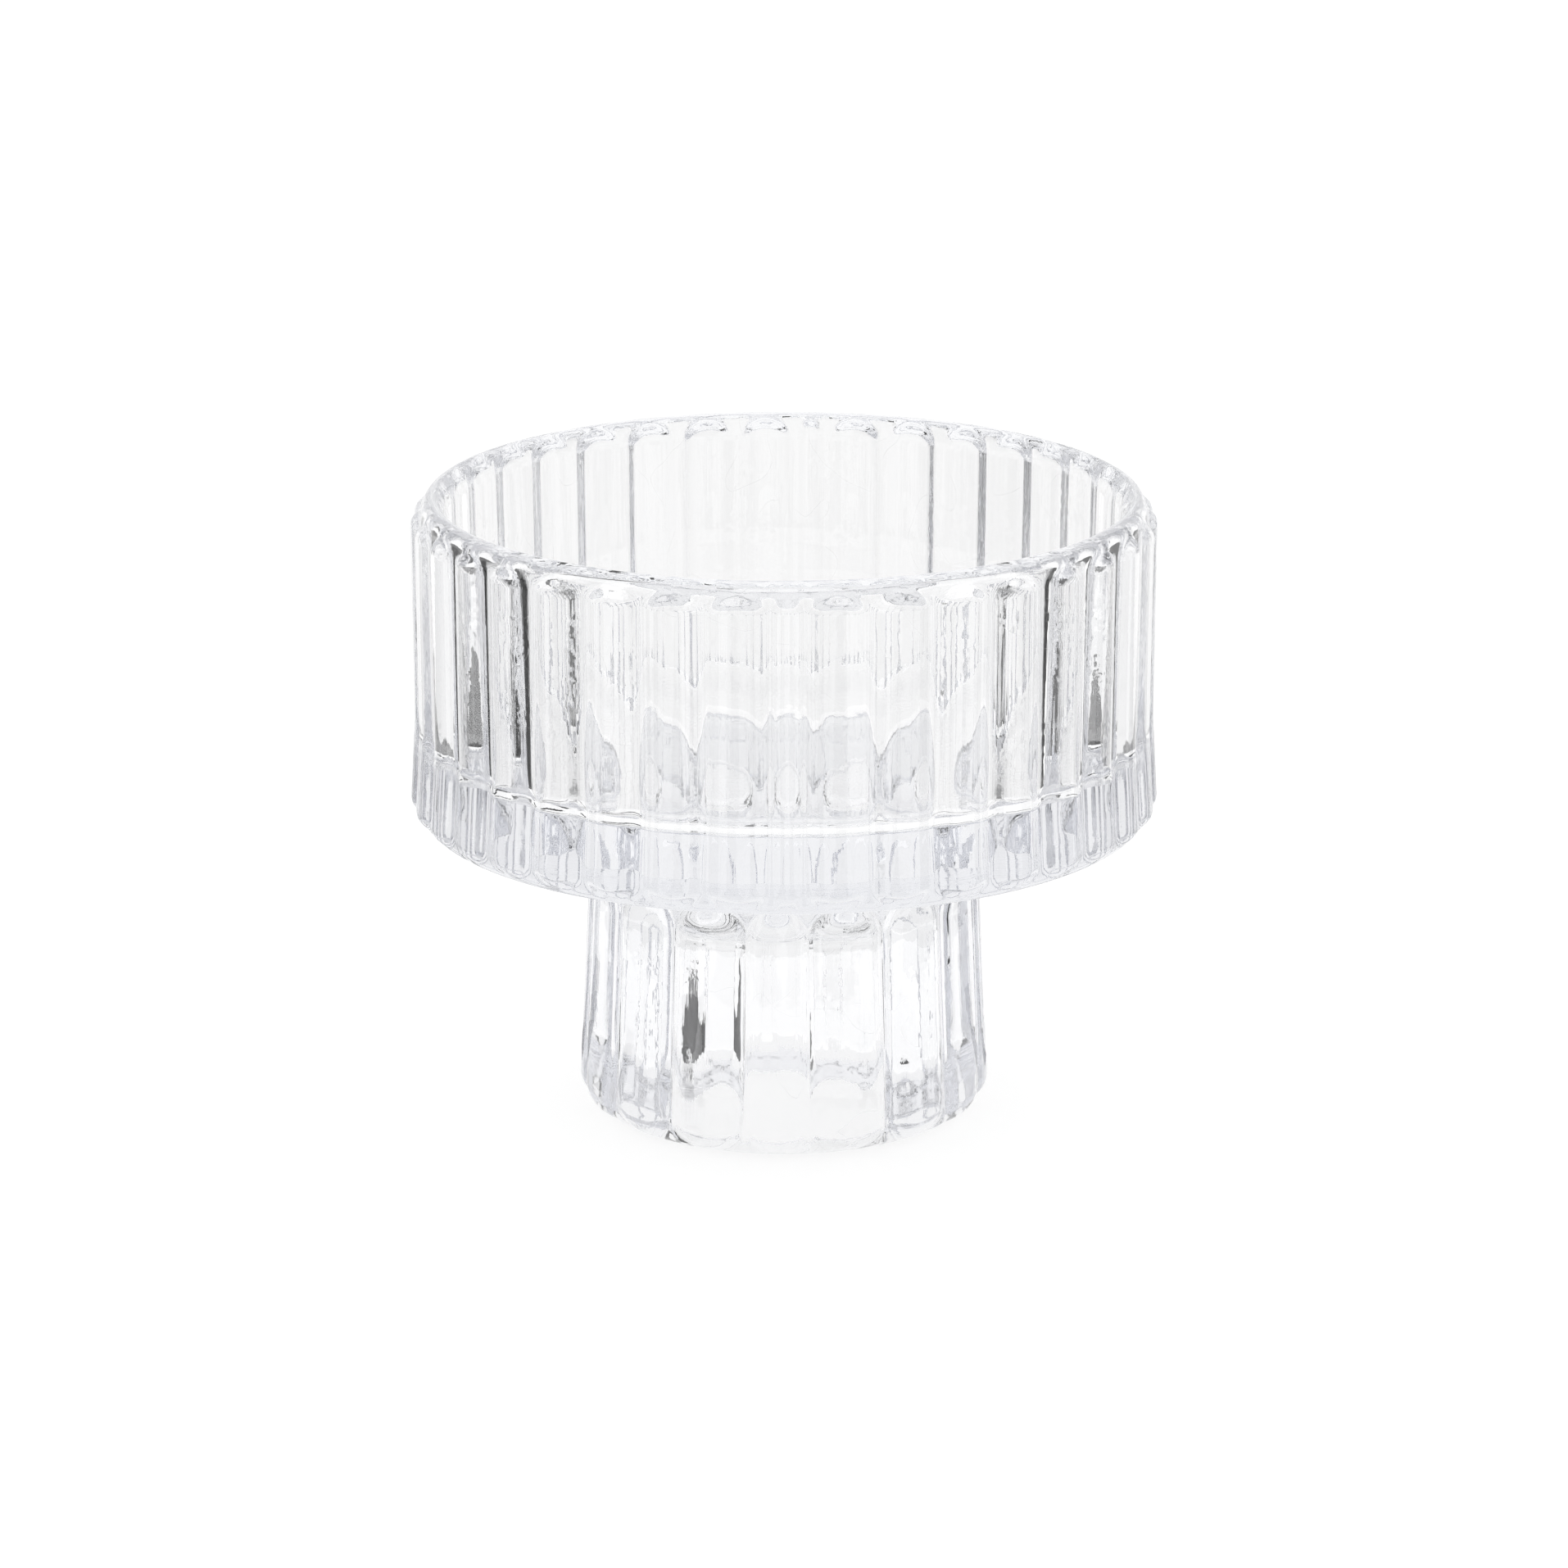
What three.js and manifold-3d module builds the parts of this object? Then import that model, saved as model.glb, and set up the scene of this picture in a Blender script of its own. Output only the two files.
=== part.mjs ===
// Ribbed glass tealight holder: a wide cup for a tealight on a narrower ribbed foot.
// The foot is hollow from below, so that the holder turned over takes a dinner candle.
// It is one piece of pressed glass. Millimetres, +Z up, origin at the middle of the ring it stands on.
import * as THREE from "three";
import { mergeVertices } from "three/addons/utils/BufferGeometryUtils.js";
import Module from "manifold-3d";

// Driving dimensions
const HEIGHT = 71.7;
const FOOT_HEIGHT = 34.5;
const FLOOR_HEIGHT = 42;

const BAND_RADIUS = 42.3;
const WAIST_RADIUS = 41.8;
const WAIST_HEIGHT = 46;
const RIM_RADIUS = 42;
const RIM_TOP_RADIUS = 39.5;
const RIM_INNER_RADIUS = 38;
const RIM_SHOULDER = 3.2;
const BAND_EDGE = 1.3;
const FLOOR_RADIUS = 37.4;
const FLOOR_CORNER = 3;

const FOOT_TOP_RADIUS = 22.3;
const FOOT_BOTTOM_RADIUS = 23.3;
const FOOT_EDGE = 3.7;
const FOOT_FILLET = 2.6;

// The socket tapers a little, so that it grips the foot of a 22 mm candle
const SOCKET_DEPTH = 24.7;
const SOCKET_RADIUS = 10.7;
const SOCKET_MOUTH_RADIUS = 11.2;
const SOCKET_CORNER = 3;
const SOCKET_LIP = 1.3;

// Ribs. Each half of the two-part mould has ribs of one width, and a narrower rib stands on each
// parting line. A rib falls away from its crest to the valleys beside it and ends in an arch, beyond
// which the wall is plain and level with the valleys. The cup's crests and valleys are rounded; the
// foot's crests are broad and its valleys narrow. Angles are in degrees from -Y towards +X.
const CUP_RIB_ANGLE = 10;
const PARTING_RIB_ANGLE = 5;
const RIGHT_HALF_RIBS = 17;
const CUP_FIRST_VALLEY = -2;
const CUP_RIB_DEPTH = 1;
const PARTING_CREST_DROP = 0.4;
const CUP_RIB_BOTTOM = 35;
const CUP_RIB_TOP = 70.4;
const CUP_RIB_ARCH = 2.2;
const CUP_CREST_POWER = 1.8;
const FOOT_HALF_RIBS = 7;
const FOOT_PARTING_RIB_ANGLE = 18;
const FOOT_RIB_ANGLE = (180 - FOOT_PARTING_RIB_ANGLE) / FOOT_HALF_RIBS;
const FOOT_FIRST_VALLEY = -11;
const FOOT_RIB_DEPTH = 0.7;
const FOOT_RIB_BOTTOM = 0.4;
const FOOT_RIB_TOP = 30;
const FOOT_RIB_ARCH = 4.5;
const FOOT_CREST_POWER = 4.5;

const STEPS_PER_CUP_RIB = 4;
const STEPS_PER_FOOT_PARTING_RIB = 7;
const STEPS_PER_ARCH = 4;
const HOLLOW_SEGMENTS = 72;
const SOCKET_SEGMENTS = 48;
const CORNER_STEPS = 3;

const GLASS_COLOR = 0xeef3f5;
const GLASS_ROUGHNESS = 0.05;

const wasm = await Module();
wasm.setup();

// Geometry to solid and back

function toSolid(geometry) {
  const bare = geometry.clone();
  bare.deleteAttribute("normal");
  bare.deleteAttribute("uv");
  const merged = mergeVertices(bare, 1e-4);
  const corners = merged.index.array;
  const triangles = [];
  for (let i = 0; i < corners.length; i += 3) {
    const [a, b, c] = [corners[i], corners[i + 1], corners[i + 2]];
    const hasArea = a !== b && b !== c && c !== a;
    if (hasArea) triangles.push(a, b, c);
  }
  return new wasm.Manifold(new wasm.Mesh({
    numProp: 3,
    vertProperties: new Float32Array(merged.attributes.position.array),
    triVerts: new Uint32Array(triangles),
  }));
}

function toGeometry(solid) {
  const mesh = solid.getMesh();
  const geometry = new THREE.BufferGeometry();
  geometry.setAttribute("position", new THREE.BufferAttribute(mesh.vertProperties, 3));
  geometry.setIndex(new THREE.BufferAttribute(mesh.triVerts, 1));
  geometry.computeVertexNormals();
  return geometry;
}

// Points of a quarter ellipse about (x, y), from one angle to another in degrees
function cornerPoints(x, y, across, up, from, to) {
  const points = [];
  for (let i = 0; i <= CORNER_STEPS; i++) {
    const angle = THREE.MathUtils.degToRad(from + ((to - from) * i) / CORNER_STEPS);
    points.push(new THREE.Vector2(x + across * Math.cos(angle), y + up * Math.sin(angle)));
  }
  return points;
}

// Points up a straight wall, from just above one (radius, height) to another
function wallPoints(from, to, steps) {
  const points = [];
  for (let i = 1; i <= steps; i++) points.push(from.clone().lerp(to, i / steps));
  return points;
}

// Turned shape about Z, from a profile of (radius, height) points that starts and ends on it
function turned(points, segments, firstAngle = 0) {
  const start = THREE.MathUtils.degToRad(firstAngle);
  const geometry = new THREE.LatheGeometry(points, segments, start);
  geometry.rotateX(Math.PI / 2);
  return geometry;
}

// Presses valleys into a turned shape: sinkAt(angle, height) is how far each point moves to the axis
function pressRibs(geometry, sinkAt) {
  const position = geometry.attributes.position;
  for (let i = 0; i < position.count; i++) {
    const x = position.getX(i);
    const y = position.getY(i);
    const radius = Math.hypot(x, y);
    if (radius > 0) {
      const angle = THREE.MathUtils.radToDeg(Math.atan2(x, -y));
      const scale = (radius - sinkAt(angle, position.getZ(i))) / radius;
      position.setXY(i, x * scale, y * scale);
    }
  }
  return geometry;
}

// Across a rib: 0 on its crest and 1 in the valleys at its sides
function offCrest(angle, valley, width) {
  const share = THREE.MathUtils.euclideanModulo(angle - valley, width) / width;
  return Math.abs(2 * share - 1);
}

// Along a rib: 0 where its section is full and 1 from the tips of its two arches outwards
function intoArch(height, bottom, top, length) {
  const below = (bottom + length - height) / length;
  const above = (height - top + length) / length;
  return THREE.MathUtils.clamp(Math.max(below, above), 0, 1);
}

// From a rib's crest line, sideways or into its arched end: 0 on the line, 1 on the outline and past it
function offLine(across, along) {
  return Math.min(Math.hypot(across, along), 1);
}

// Going round from the first valley: a narrow rib on the front parting line, the right half's ribs,
// a narrow rib on the back parting line, and the left half's ribs
function cupSink(angle, height) {
  const backParting = PARTING_RIB_ANGLE + RIGHT_HALF_RIBS * CUP_RIB_ANGLE;
  const turn = THREE.MathUtils.euclideanModulo(angle - CUP_FIRST_VALLEY, 360);
  const past = turn < backParting ? turn : turn - backParting;
  const parting = past < PARTING_RIB_ANGLE;
  const width = parting ? PARTING_RIB_ANGLE : CUP_RIB_ANGLE;
  const across = offCrest(past, PARTING_RIB_ANGLE, width);
  const along = intoArch(height, CUP_RIB_BOTTOM, CUP_RIB_TOP, CUP_RIB_ARCH);
  const share = (1 - Math.cos(Math.PI * offLine(across, along) ** CUP_CREST_POWER)) / 2;
  const drop = parting ? PARTING_CREST_DROP : 0;
  return drop + (CUP_RIB_DEPTH - drop) * share;
}

// Going round from the first valley, in each half: a narrow rib on the parting line, then the others
function footSink(angle, height) {
  const past = THREE.MathUtils.euclideanModulo(angle - FOOT_FIRST_VALLEY, 180);
  const width = past < FOOT_PARTING_RIB_ANGLE ? FOOT_PARTING_RIB_ANGLE : FOOT_RIB_ANGLE;
  const across = offCrest(past, FOOT_PARTING_RIB_ANGLE, width);
  const along = intoArch(height, FOOT_RIB_BOTTOM, FOOT_RIB_TOP, FOOT_RIB_ARCH);
  return FOOT_RIB_DEPTH * offLine(across, along) ** FOOT_CREST_POWER;
}

// Outer form of the cup: base band, slight waist and a rounded, fire-polished rim
function cupBody() {
  const crestTop = RIM_TOP_RADIUS + CUP_RIB_DEPTH;
  const bandBottom = new THREE.Vector2(BAND_RADIUS, FOOT_HEIGHT + BAND_EDGE);
  const bandTop = new THREE.Vector2(BAND_RADIUS, CUP_RIB_BOTTOM + CUP_RIB_ARCH);
  const archesStart = new THREE.Vector2(RIM_RADIUS, CUP_RIB_TOP - CUP_RIB_ARCH);
  const shoulder = new THREE.Vector2(RIM_RADIUS, HEIGHT - RIM_SHOULDER);
  const profile = [
    new THREE.Vector2(0, FOOT_HEIGHT),
    ...cornerPoints(BAND_RADIUS - BAND_EDGE, bandBottom.y, BAND_EDGE, BAND_EDGE, -90, 0),
    ...wallPoints(bandBottom, bandTop, STEPS_PER_ARCH),
    new THREE.Vector2(WAIST_RADIUS, WAIST_HEIGHT),
    archesStart,
    ...wallPoints(archesStart, shoulder, STEPS_PER_ARCH / 2),
    ...cornerPoints(crestTop, shoulder.y, RIM_RADIUS - crestTop, RIM_SHOULDER, 0, 90).slice(1),
    new THREE.Vector2(0, HEIGHT),
  ];
  const segments = (360 / CUP_RIB_ANGLE) * STEPS_PER_CUP_RIB;
  return toSolid(pressRibs(turned(profile, segments, CUP_FIRST_VALLEY), cupSink));
}

// Outer form of the foot: it flares slightly downwards, and a fillet joins it to the cup's underside
function footBody() {
  const filletRadius = FOOT_TOP_RADIUS + FOOT_FILLET;
  const filletHeight = FOOT_HEIGHT - FOOT_FILLET;
  const archesStart = new THREE.Vector2(FOOT_TOP_RADIUS, FOOT_RIB_TOP - FOOT_RIB_ARCH);
  const ribTips = new THREE.Vector2(FOOT_TOP_RADIUS, FOOT_RIB_TOP);
  const overlap = 1;
  const profile = [
    new THREE.Vector2(0, 0),
    ...cornerPoints(FOOT_BOTTOM_RADIUS - FOOT_EDGE, FOOT_EDGE, FOOT_EDGE, FOOT_EDGE, -90, 0),
    archesStart,
    ...wallPoints(archesStart, ribTips, STEPS_PER_ARCH),
    ...cornerPoints(filletRadius, filletHeight, FOOT_FILLET, FOOT_FILLET, 180, 90),
    new THREE.Vector2(filletRadius, FOOT_HEIGHT + overlap),
    new THREE.Vector2(0, FOOT_HEIGHT + overlap),
  ];
  const segments = (360 / FOOT_PARTING_RIB_ANGLE) * STEPS_PER_FOOT_PARTING_RIB;
  return toSolid(pressRibs(turned(profile, segments, FOOT_FIRST_VALLEY), footSink));
}

// Hollow of the cup, down to its flat floor, with the inner half of the rim's rounding
function cupHollow() {
  const rimTop = RIM_TOP_RADIUS;
  const corner = FLOOR_CORNER;
  return toSolid(turned([
    new THREE.Vector2(0, FLOOR_HEIGHT),
    ...cornerPoints(FLOOR_RADIUS - corner, FLOOR_HEIGHT + corner, corner, corner, -90, 0),
    ...cornerPoints(rimTop, HEIGHT - RIM_SHOULDER, rimTop - RIM_INNER_RADIUS, RIM_SHOULDER, 180, 90),
    new THREE.Vector2(rimTop, HEIGHT + 1),
    new THREE.Vector2(0, HEIGHT + 1),
  ], HOLLOW_SEGMENTS));
}

// Candle socket in the foot, open at the bottom
function socketHollow() {
  const mouth = SOCKET_MOUTH_RADIUS + SOCKET_LIP;
  const corner = SOCKET_CORNER;
  return toSolid(turned([
    new THREE.Vector2(0, -1),
    new THREE.Vector2(mouth, -1),
    ...cornerPoints(mouth, SOCKET_LIP, SOCKET_LIP, SOCKET_LIP, -90, -180),
    ...cornerPoints(SOCKET_RADIUS - corner, SOCKET_DEPTH - corner, corner, corner, 0, 90),
    new THREE.Vector2(0, SOCKET_DEPTH),
  ], SOCKET_SEGMENTS));
}

const body = cupBody().add(footBody()).subtract(cupHollow()).subtract(socketHollow());

const glassBody = new THREE.Mesh(toGeometry(body), new THREE.MeshStandardMaterial({
  color: GLASS_COLOR,
  roughness: GLASS_ROUGHNESS,
  metalness: 0,
}));
glassBody.name = "glass_body";

const tealightHolder = new THREE.Group();
tealightHolder.add(glassBody);

export default tealightHolder;
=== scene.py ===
import math

import bpy
import numpy as np
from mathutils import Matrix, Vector, noise


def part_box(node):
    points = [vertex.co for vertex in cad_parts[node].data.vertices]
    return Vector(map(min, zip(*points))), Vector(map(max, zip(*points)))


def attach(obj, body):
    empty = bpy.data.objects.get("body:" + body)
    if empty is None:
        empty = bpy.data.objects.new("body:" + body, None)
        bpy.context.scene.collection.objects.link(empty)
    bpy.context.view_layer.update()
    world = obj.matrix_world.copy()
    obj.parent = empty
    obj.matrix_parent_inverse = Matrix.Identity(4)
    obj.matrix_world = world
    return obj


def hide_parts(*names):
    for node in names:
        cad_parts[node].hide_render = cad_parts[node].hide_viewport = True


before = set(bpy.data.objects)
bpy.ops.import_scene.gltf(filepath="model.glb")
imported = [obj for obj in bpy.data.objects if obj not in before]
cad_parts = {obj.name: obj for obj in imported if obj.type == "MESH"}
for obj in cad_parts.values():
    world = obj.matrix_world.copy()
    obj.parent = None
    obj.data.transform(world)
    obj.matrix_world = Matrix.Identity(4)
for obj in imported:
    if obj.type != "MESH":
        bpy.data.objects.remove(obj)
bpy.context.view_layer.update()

# Looks of the ribbed glass tealight holder. It is one piece of pressed glass, so one closed mesh stands for
# the CAD node. Metres and radians, +Z up, origin at the middle of the ring it stands on.

low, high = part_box("glass_body")
HEIGHT = high.z
WIDEST = (high.x - low.x) / 2

# Heights and radii, as shares of the frame's own height and widest radius. Where a wall has ribs, its
# radius is that of their crests.
FOOT_HEIGHT = 0.481 * HEIGHT
FLOOR_HEIGHT = 0.586 * HEIGHT
WAIST_HEIGHT = 0.642 * HEIGHT
SOCKET_DEPTH = 0.344 * HEIGHT
BAND_RADIUS = WIDEST
WAIST_RADIUS = 0.988 * WIDEST
RIM_RADIUS = 0.993 * WIDEST
RIM_TOP_RADIUS = 0.934 * WIDEST
RIM_INNER_RADIUS = 0.898 * WIDEST
FLOOR_RADIUS = 0.884 * WIDEST
FOOT_TOP_RADIUS = 0.527 * WIDEST
FOOT_BOTTOM_RADIUS = 0.551 * WIDEST
SOCKET_RADIUS = 0.253 * WIDEST
SOCKET_MOUTH_RADIUS = 0.265 * WIDEST

# Roundings
RIM_SHOULDER = 0.0032
BAND_EDGE = 0.0013
FLOOR_CORNER = 0.0030
FOOT_EDGE = 0.0037
FOOT_FILLET = 0.0026
SOCKET_CORNER = 0.0030
SOCKET_LIP = 0.0013

# Ribs. Each half of the two-part mould has ribs of one width, and a narrower rib stands on each parting
# line. A rib falls away from its crest to the valleys beside it and ends in an arch, beyond which the wall is
# plain and level with the valleys. The cup's crests and valleys are rounded; the foot's crests are broad and
# its valleys narrow. Angles are in degrees from -Y towards +X.
CUP_RIB_ANGLE = 10
PARTING_RIB_ANGLE = 5
RIGHT_HALF_RIBS = 17
LEFT_HALF_RIBS = 18
CUP_FIRST_VALLEY = -2.0
CUP_RIB_DEPTH = 0.0010
PARTING_CREST_DROP = 0.0004
CUP_RIB_BOTTOM = FOOT_HEIGHT + 0.0005
CUP_RIB_TOP = HEIGHT - 0.0013
CUP_RIB_ARCH = 0.0022
CUP_CREST_POWER = 1.8
FOOT_PARTING_RIB_ANGLE = 18
FOOT_HALF_RIBS = 7
FOOT_RIB_ANGLE = (180 - FOOT_PARTING_RIB_ANGLE) / FOOT_HALF_RIBS
FOOT_FIRST_VALLEY = -11
FOOT_RIB_DEPTH = 0.0007
FOOT_RIB_BOTTOM = 0.0004
FOOT_RIB_TOP = FOOT_HEIGHT - 0.0045
FOOT_RIB_ARCH = 0.0045
FOOT_CREST_POWER = 4.5

# Mesh density: the same number of points round the cup and the foot, closest together in the valleys
POINTS_PER_CUP_RIB = 12
POINTS_PER_PARTING_RIB = 6
POINTS_PER_FOOT_RIB = 27
VALLEY_CROWDING = 0.4

# Mesh density along the profile, in steps per stretch
SOCKET_CEILING_STEPS = 6
SOCKET_CORNER_STEPS = 10
SOCKET_WALL_STEPS = 18
SOCKET_LIP_STEPS = 6
FOOT_RING_STEPS = 4
FOOT_EDGE_STEPS = 12
FOOT_WALL_STEPS = 14
FOOT_ARCH_STEPS = 14
FOOT_NECK_STEPS = 3
FOOT_FILLET_STEPS = 8
UNDERSIDE_STEPS = 8
BAND_EDGE_STEPS = 6
BAND_STEPS = 8
WAIST_STEPS = 8
CUP_WALL_STEPS = 14
CUP_ARCH_STEPS = 5
RIM_OUTER_STEPS = 14
RIM_INNER_STEPS = 10
HOLLOW_WALL_STEPS = 16
FLOOR_CORNER_STEPS = 10
FLOOR_STEPS = 16

# Marks of pressing and cooling: long waves all over, stronger within a short way of the rim, which also
# sags a little, and small ripples
WAVE_LENGTH = 0.007
WAVE_HEIGHT = 0.00003
RIM_WAVE_HEIGHT = 0.00005
RIM_WAVE_REACH = 0.006
RIM_SAG = 0.00006
WAVE_STRETCH = 0.45
RIPPLE_LENGTH = 0.0022
RIPPLE_HEIGHT = 0.000006
RIPPLE_STRETCH = 0.6
RIPPLE_OFFSET = Vector((7, 3, 1))
ON_AXIS = 0.00001
SAME_POINT = 1e-7
SAME_RADIUS = 1e-6

# Glass. Noise scales are in cycles per metre along x, y and z.
GLASS_IOR = 1.5
TINT_COLOR = (0.72, 0.74, 0.82, 1.0)
TINT_DENSITY = 5.0
DRAG_LINE_SCALE = (2200, 2200, 60)
DRAG_LINE_DETAIL = 2.0
DRAG_LINE_SHARE = 0.25
ORANGE_PEEL_SCALE = (900, 900, 700)
ORANGE_PEEL_DETAIL = 1.0
PATCH_SCALE = (110, 110, 90)
PATCH_DETAIL = 1.0
PATCH_LEVEL = 0.55
RELIEF_HEIGHT = 0.000024
HAZE_SCALE = (300, 300, 200)
HAZE_DETAIL = 3.0
HAZE_ROUGHNESS = 0.03
NOISE_ROUGHNESS = 0.5

WHITE = (1.0, 1.0, 1.0, 1.0)
FLOOR_COLOR = (0.3, 0.3, 0.3, 1.0)
FLOOR_ROUGHNESS = 0.9
FLOOR_GLOW = 0.80
FLOOR_SIZE = 12.0
FLOOR_LEVEL = -0.0002
WORLD_LIGHT = 0.95

# Cards round the set. Azimuths are in degrees from +Y (behind the object) towards +X; sizes in metres.
# Upright cards: azimuth, distance, width, height and brightness
FLAG_BRIGHTNESS = 0.12
FLAG_DISTANCE = 0.5
FLAG_WIDTH = 0.07
FLAG_HEIGHT = 0.45
FLAG_AZIMUTHS = (-150, -122, -98, -74, -52, 48, 70, 96, 124, 152)
TENT_CARDS = {
    "tent_back": (0, 0.8, 1.2, 0.6, 0.94),
    "tent_left": (-90, 0.6, 1.6, 0.9, 0.95),
    "tent_right": (90, 0.6, 1.6, 0.9, 0.9),
}
DARK_CARDS = {
    "dark_card_left": (-85, 0.12, 0.07, 0.05, 0.01),
    "dark_card_right": (100, 0.14, 0.05, 0.05, 0.03),
}

# Cards lying just above the floor: azimuth, nearest and farthest point, width and brightness
GROUND_CARD_LEVEL = 0.0005
GROUND_FLAG_NEAR = 0.10
GROUND_FLAG_FAR = 0.45
GROUND_FLAG_WIDTH = 0.07
GROUND_FLAG_AZIMUTHS = (-116, -88, -62, 64, 100, 160, 200)
GROUND_CARDS = {
    "ground_back": (0, 0.06, 0.7, 0.30, 0.96),
    # The streak strips are painted shade: dark sheets on the floor under the cup's overhang, standing in for
    # its own shadow there, seen only through the glass as dark streaks down the ribs.
    "painted_shade_streak_left": (-57, 0.030, 0.078, 0.011, 0.02),
    "painted_shade_streak_far_left": (-96, 0.030, 0.065, 0.009, 0.02),
    "painted_shade_streak_right": (66, 0.030, 0.070, 0.007, 0.06),
}

# Camera: about 16 degrees above the floor and far away, with a long lens (sensor and lens in millimetres)
CAMERA_ELEVATION = math.radians(16.13)
CAMERA_DISTANCE = 20 * RIM_RADIUS
CAMERA_TARGET_HEIGHT = 0.897 * RIM_RADIUS
CAMERA_NEAREST = 0.01
CAMERA_FARTHEST = 50.0
SENSOR = 36.0
FOCAL_LENGTH = 169.8

LIGHT_BOUNCES = 32
GLOSSY_BOUNCES = 16


# ---------------------------------------------------------------- glass body

def arc(radius, height, across, up, start, end, steps):
    """Points of a quarter ellipse about (radius, height), from one angle to another in degrees."""
    turns = np.radians(np.linspace(start, end, steps + 1))
    return np.stack([radius + across * np.cos(turns), height + up * np.sin(turns)], 1)


def line(start, end, steps):
    """Evenly spaced points of a straight stretch, both ends included."""
    share = np.linspace(0, 1, steps + 1)[:, None]
    return np.array(start) * (1 - share) + np.array(end) * share


def run(*stretches):
    """Joins stretches of a profile, without repeating the points where they meet."""
    points = [stretches[0]]
    for stretch in stretches[1:]:
        touches = np.allclose(points[-1][-1], stretch[0], atol=SAME_POINT)
        points.append(stretch[1:] if touches else stretch)
    return np.concatenate(points)


def socket_profile():
    """Candle socket, from the middle of its ceiling down its wall and out over the lip of its mouth."""
    corner = SOCKET_CORNER
    mouth = SOCKET_MOUTH_RADIUS
    return run(
        line((0, SOCKET_DEPTH), (SOCKET_RADIUS - corner, SOCKET_DEPTH), SOCKET_CEILING_STEPS),
        arc(SOCKET_RADIUS - corner, SOCKET_DEPTH - corner, corner, corner, 90, 0, SOCKET_CORNER_STEPS),
        line((SOCKET_RADIUS, SOCKET_DEPTH - corner), (mouth, SOCKET_LIP), SOCKET_WALL_STEPS),
        arc(mouth + SOCKET_LIP, SOCKET_LIP, SOCKET_LIP, SOCKET_LIP, 180, 270, SOCKET_LIP_STEPS),
    )


def foot_profile():
    """Outside of the foot, from the ring it stands on up to the fillet under the cup."""
    edge = FOOT_EDGE
    fillet_radius = FOOT_TOP_RADIUS + FOOT_FILLET
    fillet_height = FOOT_HEIGHT - FOOT_FILLET
    arches_start = (FOOT_TOP_RADIUS, FOOT_RIB_TOP - FOOT_RIB_ARCH)
    rib_tips = (FOOT_TOP_RADIUS, FOOT_RIB_TOP)
    ring_start = (SOCKET_MOUTH_RADIUS + SOCKET_LIP, 0)
    return run(
        line(ring_start, (FOOT_BOTTOM_RADIUS - edge, 0), FOOT_RING_STEPS),
        arc(FOOT_BOTTOM_RADIUS - edge, edge, edge, edge, -90, 0, FOOT_EDGE_STEPS),
        line((FOOT_BOTTOM_RADIUS, edge), arches_start, FOOT_WALL_STEPS),
        line(arches_start, rib_tips, FOOT_ARCH_STEPS),
        line(rib_tips, (FOOT_TOP_RADIUS, fillet_height), FOOT_NECK_STEPS),
        arc(fillet_radius, fillet_height, FOOT_FILLET, FOOT_FILLET, 180, 90, FOOT_FILLET_STEPS),
    )


def underside_profile():
    """Flat underside of the cup, between the foot's fillet and the band's edge."""
    start = FOOT_TOP_RADIUS + FOOT_FILLET
    return line((start, FOOT_HEIGHT), (BAND_RADIUS - BAND_EDGE, FOOT_HEIGHT), UNDERSIDE_STEPS)


def cup_profile():
    """Outside of the cup: base band, slight waist and the outer half of the rim."""
    edge = BAND_EDGE
    band_bottom = (BAND_RADIUS, FOOT_HEIGHT + edge)
    band_top = (BAND_RADIUS, CUP_RIB_BOTTOM + CUP_RIB_ARCH)
    waist = (WAIST_RADIUS, WAIST_HEIGHT)
    arches_start = (RIM_RADIUS, CUP_RIB_TOP - CUP_RIB_ARCH)
    shoulder = HEIGHT - RIM_SHOULDER
    crest_top = RIM_TOP_RADIUS + CUP_RIB_DEPTH
    return run(
        arc(BAND_RADIUS - edge, FOOT_HEIGHT + edge, edge, edge, -90, 0, BAND_EDGE_STEPS),
        line(band_bottom, band_top, BAND_STEPS),
        line(band_top, waist, WAIST_STEPS),
        line(waist, arches_start, CUP_WALL_STEPS),
        line(arches_start, (RIM_RADIUS, shoulder), CUP_ARCH_STEPS),
        arc(crest_top, shoulder, RIM_RADIUS - crest_top, RIM_SHOULDER, 0, 90, RIM_OUTER_STEPS),
    )


def hollow_profile():
    """Inside of the cup, from the top of the rim down to the middle of the floor."""
    corner = FLOOR_CORNER
    shoulder = HEIGHT - RIM_SHOULDER
    rim_half = RIM_TOP_RADIUS - RIM_INNER_RADIUS
    wall_end = (FLOOR_RADIUS, FLOOR_HEIGHT + corner)
    return run(
        arc(RIM_TOP_RADIUS, shoulder, rim_half, RIM_SHOULDER, 90, 180, RIM_INNER_STEPS),
        line((RIM_INNER_RADIUS, shoulder), wall_end, HOLLOW_WALL_STEPS),
        arc(FLOOR_RADIUS - corner, FLOOR_HEIGHT + corner, corner, corner, 0, -90, FLOOR_CORNER_STEPS),
        line((FLOOR_RADIUS - corner, FLOOR_HEIGHT), (0, FLOOR_HEIGHT), FLOOR_STEPS),
    )


def rib_points(first_valley, widths, counts):
    """Angles of the points round a ribbed wall, and how far each is off its rib's crest (0 to 1)."""
    angles = []
    off_crest = []
    start = first_valley
    for width, count in zip(widths, counts):
        step = np.arange(count) / count
        eased = 0.5 - 0.5 * np.cos(np.pi * step)
        share = VALLEY_CROWDING * eased + (1 - VALLEY_CROWDING) * step
        angles.append(start + width * share)
        off_crest.append(np.abs(2 * share - 1))
        start += width
    return np.concatenate(angles), np.concatenate(off_crest)


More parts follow.
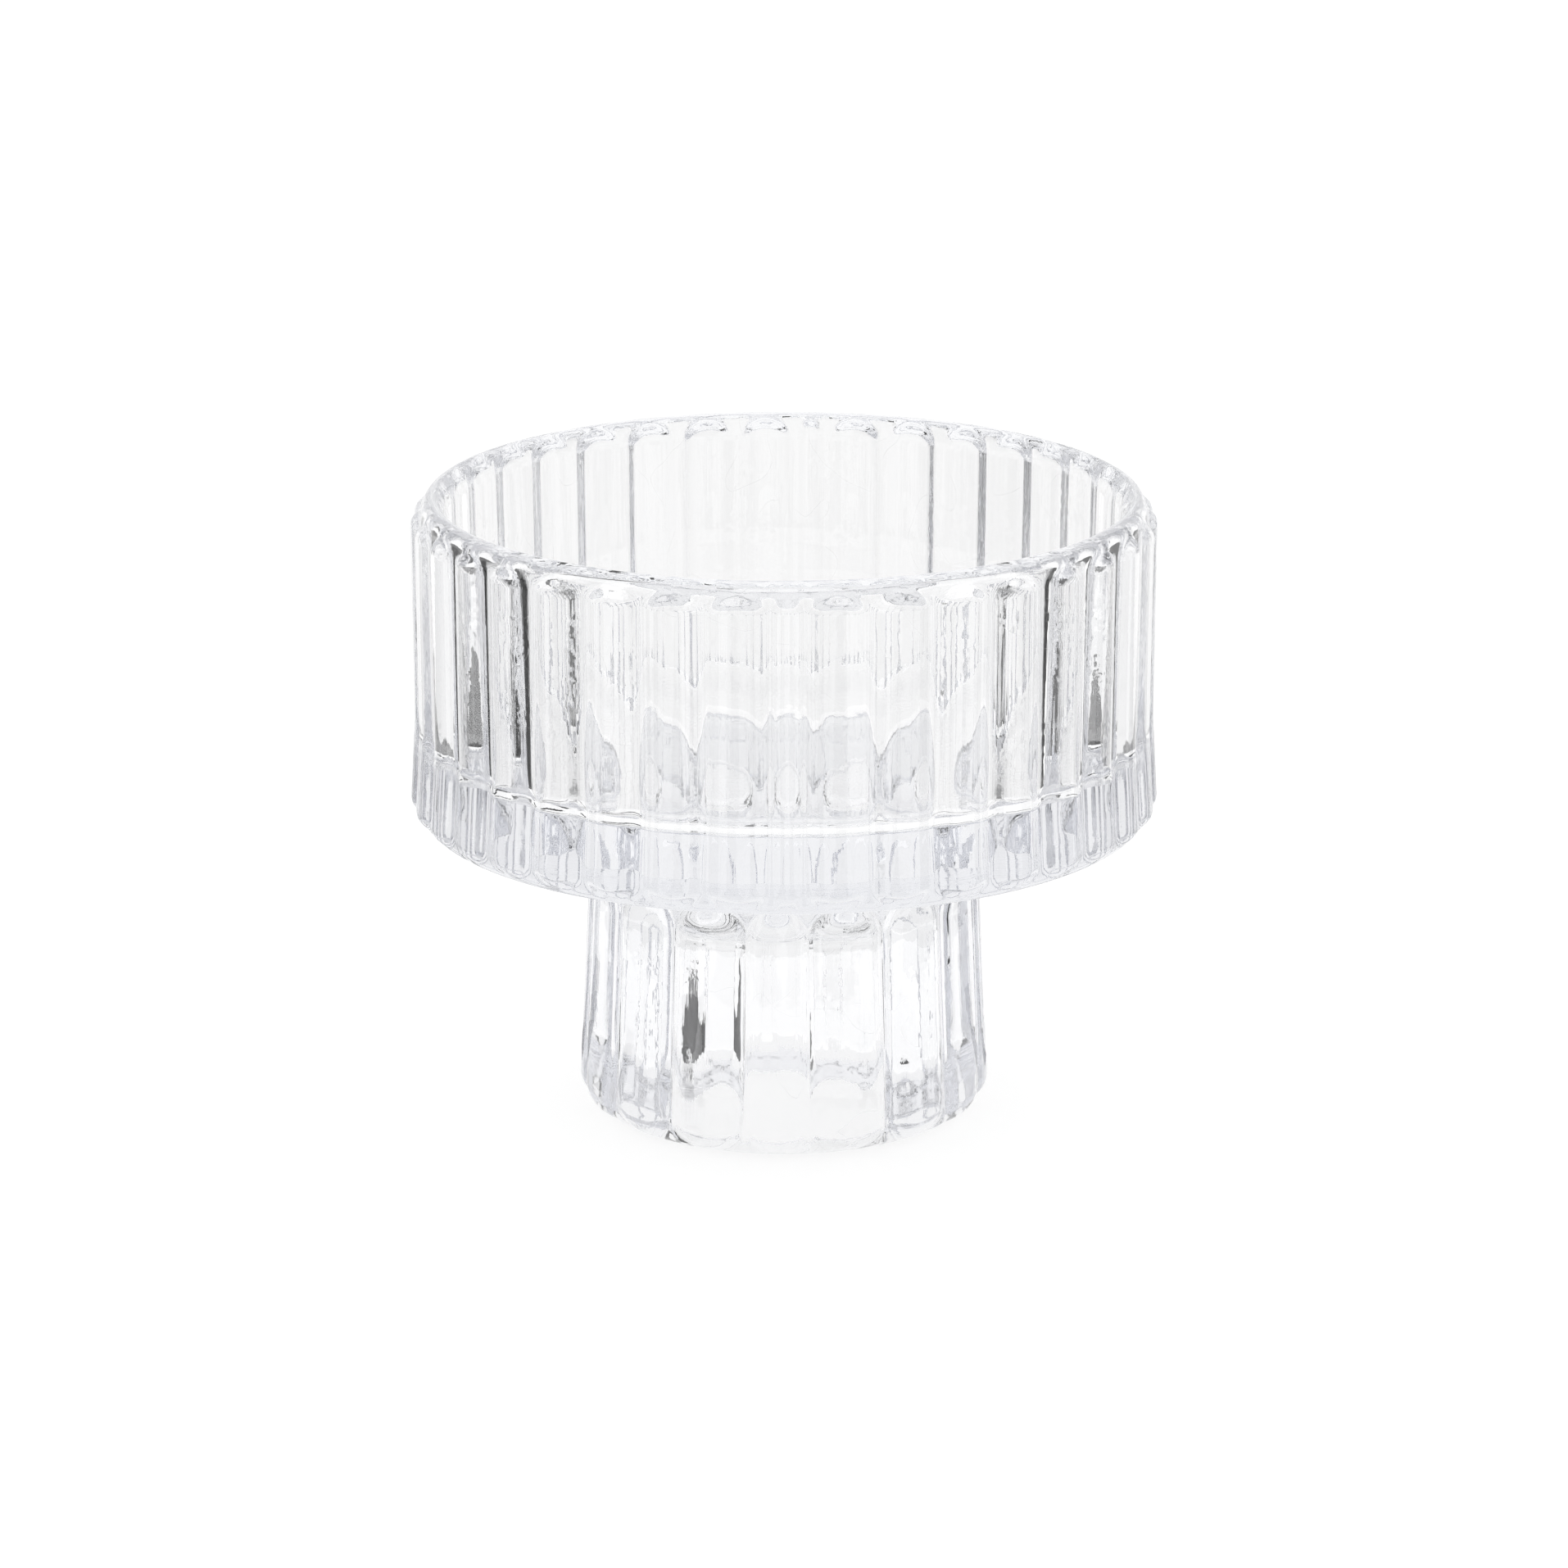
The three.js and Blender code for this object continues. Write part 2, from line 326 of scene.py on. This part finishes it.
def cup_ribs():
    """Angle, off-crest share and crest drop of each point round the cup."""
    widths = [PARTING_RIB_ANGLE] + [CUP_RIB_ANGLE] * RIGHT_HALF_RIBS
    widths += [PARTING_RIB_ANGLE] + [CUP_RIB_ANGLE] * LEFT_HALF_RIBS
    parting = [width == PARTING_RIB_ANGLE for width in widths]
    counts = [POINTS_PER_PARTING_RIB if p else POINTS_PER_CUP_RIB for p in parting]
    angles, off_crest = rib_points(CUP_FIRST_VALLEY, widths, counts)
    drop = np.repeat([PARTING_CREST_DROP if p else 0.0 for p in parting], counts)
    return angles, off_crest, drop


def foot_ribs(cup_angles):
    """Angle and off-crest share of each point round the foot, in step with the cup's points."""
    widths = ([FOOT_PARTING_RIB_ANGLE] + [FOOT_RIB_ANGLE] * FOOT_HALF_RIBS) * 2
    angles, off_crest = rib_points(FOOT_FIRST_VALLEY, widths, [POINTS_PER_FOOT_RIB] * len(widths))
    first = int(np.searchsorted(angles, cup_angles[0])) - 1
    angles = np.concatenate([angles[first:], angles[:first] + 360])
    return angles, np.roll(off_crest, -first)


def off_rib(off_crest, height, bottom, top, arch):
    """How far each point is off its rib's crest line, sideways or into the rib's arched end (0 to 1)."""
    past_end = max((bottom + arch - height) / arch, (height - top + arch) / arch)
    along = min(max(past_end, 0), 1)
    return np.minimum(np.hypot(off_crest, along), 1)


def cup_sink(off_crest, height):
    """Share of the rib depth lost at each point of the cup: rounded crests and rounded valleys."""
    off = off_rib(off_crest, height, CUP_RIB_BOTTOM, CUP_RIB_TOP, CUP_RIB_ARCH)
    return 0.5 - 0.5 * np.cos(np.pi * off ** CUP_CREST_POWER)


def foot_sink(off_crest, height):
    """Share of the rib depth lost at each point of the foot: broad crests and narrow valleys."""
    off = off_rib(off_crest, height, FOOT_RIB_BOTTOM, FOOT_RIB_TOP, FOOT_RIB_ARCH)
    return off ** FOOT_CREST_POWER


def body_points():
    """The rings of points that make up the whole surface, and the heights of its two poles."""
    cup_angles, cup_off, cup_drop = cup_ribs()
    foot_angles, foot_off = foot_ribs(cup_angles)
    rings = []

    def add(radius, height, angles):
        turns = np.radians(angles)
        heights = np.full(len(turns), height)
        rings.append(np.stack([radius * np.sin(turns), -radius * np.cos(turns), heights], 1))

    for radius, height in socket_profile()[1:]:
        add(radius, height, foot_angles)
    for radius, height in foot_profile()[1:]:
        share = foot_sink(foot_off, height)
        ribbed = radius > FOOT_BOTTOM_RADIUS - FOOT_EDGE - SAME_RADIUS
        add(radius - (FOOT_RIB_DEPTH * share if ribbed else 0), height, foot_angles)
    under = underside_profile()
    for step, (radius, height) in enumerate(under[1:-1], 1):
        share = step / (len(under) - 1)
        sink = FOOT_RIB_DEPTH * (1 - share) + CUP_RIB_DEPTH * share
        add(radius - sink, height, foot_angles * (1 - share) + cup_angles * share)
    for radius, height in cup_profile():
        share = cup_sink(cup_off, height)
        add(radius - cup_drop - (CUP_RIB_DEPTH - cup_drop) * share, height, cup_angles)
    for radius, height in hollow_profile()[1:-1]:
        add(radius, height, cup_angles)
    return np.array(rings), SOCKET_DEPTH, FLOOR_HEIGHT


def press_marks(rings):
    """Moves the points by a few hundredths of a millimetre, as cooling glass does after pressing."""
    shape = rings.shape
    points = rings.reshape(-1, 3)
    radii = np.hypot(points[:, 0], points[:, 1])
    moved = points.copy()
    for i, (x, y, z) in enumerate(points):
        wave = noise.noise(Vector((x, y, WAVE_STRETCH * z)) / WAVE_LENGTH)
        ripple = noise.noise(Vector((x, y, RIPPLE_STRETCH * z)) / RIPPLE_LENGTH + RIPPLE_OFFSET)
        near_rim = min(max((z - HEIGHT + RIM_WAVE_REACH) / RIM_WAVE_REACH, 0), 1)
        push = (WAVE_HEIGHT + RIM_WAVE_HEIGHT * near_rim) * wave + RIPPLE_HEIGHT * ripple
        if radii[i] > ON_AXIS:
            moved[i, 0] += push * x / radii[i]
            moved[i, 1] += push * y / radii[i]
        if near_rim > 0:
            moved[i, 2] -= RIM_SAG * near_rim * abs(wave)
    return moved.reshape(shape)


def build_body():
    """The closed glass body: rings of quads between two poles, socket ceiling and cup floor."""
    rings, ceiling, floor_height = body_points()
    rings = press_marks(rings)
    count, around = rings.shape[:2]
    index = np.arange(count * around).reshape(count, around)
    following = np.roll(index, -1, axis=1)
    quads = np.stack([index[:-1], following[:-1], following[1:], index[1:]], -1).reshape(-1, 4)
    ceiling_pole = count * around
    floor_pole = ceiling_pole + 1
    faces = quads.tolist()
    faces += [(ceiling_pole, b, a) for a, b in zip(index[0].tolist(), following[0].tolist())]
    faces += [(floor_pole, a, b) for a, b in zip(index[-1].tolist(), following[-1].tolist())]
    vertices = rings.reshape(-1, 3).tolist() + [(0, 0, ceiling), (0, 0, floor_height)]
    mesh = bpy.data.meshes.new("pressed_glass")
    mesh.from_pydata(vertices, [], faces)
    mesh.update()
    mesh.polygons.foreach_set("use_smooth", [True] * len(mesh.polygons))
    body = bpy.data.objects.new("pressed_glass", mesh)
    bpy.context.scene.collection.objects.link(body)
    return body


# ---------------------------------------------------------------- materials

def new_material(name):
    """A new material, its node tree and its default shader."""
    material = bpy.data.materials.new(name)
    material.use_nodes = True
    return material, material.node_tree, material.node_tree.nodes["Principled BSDF"]


def math_node(tree, operation, a, b):
    """A Math node fed by sockets or numbers, as its output socket."""
    node = tree.nodes.new("ShaderNodeMath")
    node.operation = operation
    for socket, value in zip(node.inputs, (a, b)):
        if isinstance(value, bpy.types.NodeSocket):
            tree.links.new(value, socket)
        else:
            socket.default_value = value
    return node.outputs[0]


def noise_node(tree, coordinates, scale, detail):
    """A Noise texture on coordinates stretched by scale (x, y, z), as its output socket."""
    mapping = tree.nodes.new("ShaderNodeMapping")
    mapping.inputs["Scale"].default_value = scale
    tree.links.new(coordinates, mapping.inputs["Vector"])
    node = tree.nodes.new("ShaderNodeTexNoise")
    node.inputs["Scale"].default_value = 1.0
    node.inputs["Detail"].default_value = detail
    node.inputs["Roughness"].default_value = NOISE_ROUGHNESS
    tree.links.new(mapping.outputs["Vector"], node.inputs["Vector"])
    return node.outputs["Fac"]


def glass_material():
    """Clear pressed glass with a faint cool tint, drag lines down its walls and patches of orange peel."""
    material, tree, shader = new_material("clear_pressed_glass")
    shader.inputs["Base Color"].default_value = WHITE
    shader.inputs["Transmission Weight"].default_value = 1.0
    shader.inputs["IOR"].default_value = GLASS_IOR
    place = tree.nodes.new("ShaderNodeTexCoord").outputs["Object"]
    drag_lines = noise_node(tree, place, DRAG_LINE_SCALE, DRAG_LINE_DETAIL)
    peel = noise_node(tree, place, ORANGE_PEEL_SCALE, ORANGE_PEEL_DETAIL)
    patches = noise_node(tree, place, PATCH_SCALE, PATCH_DETAIL)
    in_patch = math_node(tree, "GREATER_THAN", patches, PATCH_LEVEL)
    patchy_peel = math_node(tree, "MULTIPLY", peel, in_patch)
    faint_lines = math_node(tree, "MULTIPLY", drag_lines, DRAG_LINE_SHARE)
    relief = math_node(tree, "ADD", faint_lines, patchy_peel)
    bump = tree.nodes.new("ShaderNodeBump")
    bump.inputs["Strength"].default_value = 1.0
    bump.inputs["Distance"].default_value = RELIEF_HEIGHT
    tree.links.new(relief, bump.inputs["Height"])
    tree.links.new(bump.outputs["Normal"], shader.inputs["Normal"])
    haze = noise_node(tree, place, HAZE_SCALE, HAZE_DETAIL)
    tree.links.new(math_node(tree, "MULTIPLY", haze, HAZE_ROUGHNESS), shader.inputs["Roughness"])
    tint = tree.nodes.new("ShaderNodeVolumeAbsorption")
    tint.inputs["Color"].default_value = TINT_COLOR
    tint.inputs["Density"].default_value = TINT_DENSITY
    output = tree.nodes["Material Output"]
    tree.links.new(tint.outputs["Volume"], output.inputs["Volume"])
    return material


def glow_material(name, brightness):
    """A plain self-lit surface, for the studio's cards."""
    material, tree, shader = new_material(name)
    tree.nodes.remove(shader)
    glow = tree.nodes.new("ShaderNodeEmission")
    glow.inputs["Color"].default_value = WHITE
    glow.inputs["Strength"].default_value = brightness
    tree.links.new(glow.outputs["Emission"], tree.nodes["Material Output"].inputs["Surface"])
    return material


def floor_material():
    """Matt white floor, lit a little from inside like an acrylic light table."""
    material, tree, shader = new_material("white_floor")
    shader.inputs["Base Color"].default_value = FLOOR_COLOR
    shader.inputs["Roughness"].default_value = FLOOR_ROUGHNESS
    shader.inputs["Specular IOR Level"].default_value = 0.0
    shader.inputs["Emission Color"].default_value = WHITE
    shader.inputs["Emission Strength"].default_value = FLOOR_GLOW
    return material


# ---------------------------------------------------------------- studio

def build_stage_plane(name, corners, material):
    """A four-cornered plane that belongs to the set, not to the object."""
    mesh = bpy.data.meshes.new(name)
    mesh.from_pydata(corners, [], [(0, 1, 2, 3)])
    mesh.update()
    plane = bpy.data.objects.new(name, mesh)
    bpy.context.scene.collection.objects.link(plane)
    mesh.materials.append(material)
    return plane


def build_floor():
    """Large white floor under the object."""
    half = FLOOR_SIZE / 2
    level = FLOOR_LEVEL
    corners = [(-half, -half, level), (half, -half, level), (half, half, level), (-half, half, level)]
    build_stage_plane("floor", corners, floor_material())


def show_in_glass_only(card):
    """Keeps a card out of sight of the camera. It casts no shadow and lights no matt surface."""
    card.visible_camera = False
    card.visible_shadow = False
    card.visible_diffuse = False


def build_card(name, azimuth, distance, width, height, brightness):
    """Upright card facing the object, which only the glass shows."""
    half = width / 2
    turn = math.radians(azimuth)
    corners = [(-half, 0, 0), (half, 0, 0), (half, 0, height), (-half, 0, height)]
    card = build_stage_plane(name, corners, glow_material(name, brightness))
    card.location = (distance * math.sin(turn), distance * math.cos(turn), 0)
    card.rotation_euler = (0, 0, -turn)
    show_in_glass_only(card)


def build_ground_card(name, azimuth, near, far, width, brightness):
    """Card lying just above the floor, which only the glass shows."""
    half = width / 2
    corners = [(-half, near, 0), (half, near, 0), (half, far, 0), (-half, far, 0)]
    card = build_stage_plane(name, corners, glow_material(name, brightness))
    card.location = (0, 0, GROUND_CARD_LEVEL)
    card.rotation_euler = (0, 0, -math.radians(azimuth))
    show_in_glass_only(card)


def build_cards():
    """White tent on three sides, dark flags that give the ribs their dark lines, and dark strips of painted
    shade under the cup, standing in for its shadow on the floor, which add more dark lines to the ribs.
    """
    for name, card in TENT_CARDS.items():
        build_card(name, *card)
    for azimuth in FLAG_AZIMUTHS:
        name = f"flag_{azimuth}"
        build_card(name, azimuth, FLAG_DISTANCE, FLAG_WIDTH, FLAG_HEIGHT, FLAG_BRIGHTNESS)
    for azimuth in GROUND_FLAG_AZIMUTHS:
        name = f"ground_flag_{azimuth}"
        span = (GROUND_FLAG_NEAR, GROUND_FLAG_FAR, GROUND_FLAG_WIDTH)
        build_ground_card(name, azimuth, *span, FLAG_BRIGHTNESS)
    for name, card in GROUND_CARDS.items():
        build_ground_card(name, *card)
    for name, card in DARK_CARDS.items():
        build_card(name, *card)


def build_world():
    """Even white light from all round."""
    world = bpy.data.worlds.new("studio")
    world.use_nodes = True
    background = world.node_tree.nodes["Background"]
    background.inputs["Color"].default_value = WHITE
    background.inputs["Strength"].default_value = WORLD_LIGHT
    bpy.context.scene.world = world


def build_camera():
    """The camera, aimed at the object's axis."""
    data = bpy.data.cameras.new("camera")
    data.sensor_width = SENSOR
    data.lens = FOCAL_LENGTH
    data.clip_start = CAMERA_NEAREST
    data.clip_end = CAMERA_FARTHEST
    camera = bpy.data.objects.new("camera", data)
    bpy.context.scene.collection.objects.link(camera)
    rise = CAMERA_DISTANCE * math.sin(CAMERA_ELEVATION)
    back = CAMERA_DISTANCE * math.cos(CAMERA_ELEVATION)
    camera.location = (0, -back, CAMERA_TARGET_HEIGHT + rise)
    camera.rotation_euler = (math.pi / 2 - CAMERA_ELEVATION, 0, 0)
    bpy.context.scene.camera = camera


def set_light_paths():
    """Enough bounces for light to find its way through thick ribbed glass, and plain tone mapping."""
    scene = bpy.context.scene
    scene.cycles.max_bounces = LIGHT_BOUNCES
    scene.cycles.transmission_bounces = LIGHT_BOUNCES
    scene.cycles.glossy_bounces = GLOSSY_BOUNCES
    scene.cycles.caustics_refractive = True
    scene.cycles.caustics_reflective = True
    scene.view_settings.view_transform = "Standard"


glass = build_body()
glass.data.materials.append(glass_material())
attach(glass, "root")
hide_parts("glass_body")

build_floor()
build_cards()
build_world()
build_camera()
set_light_paths()
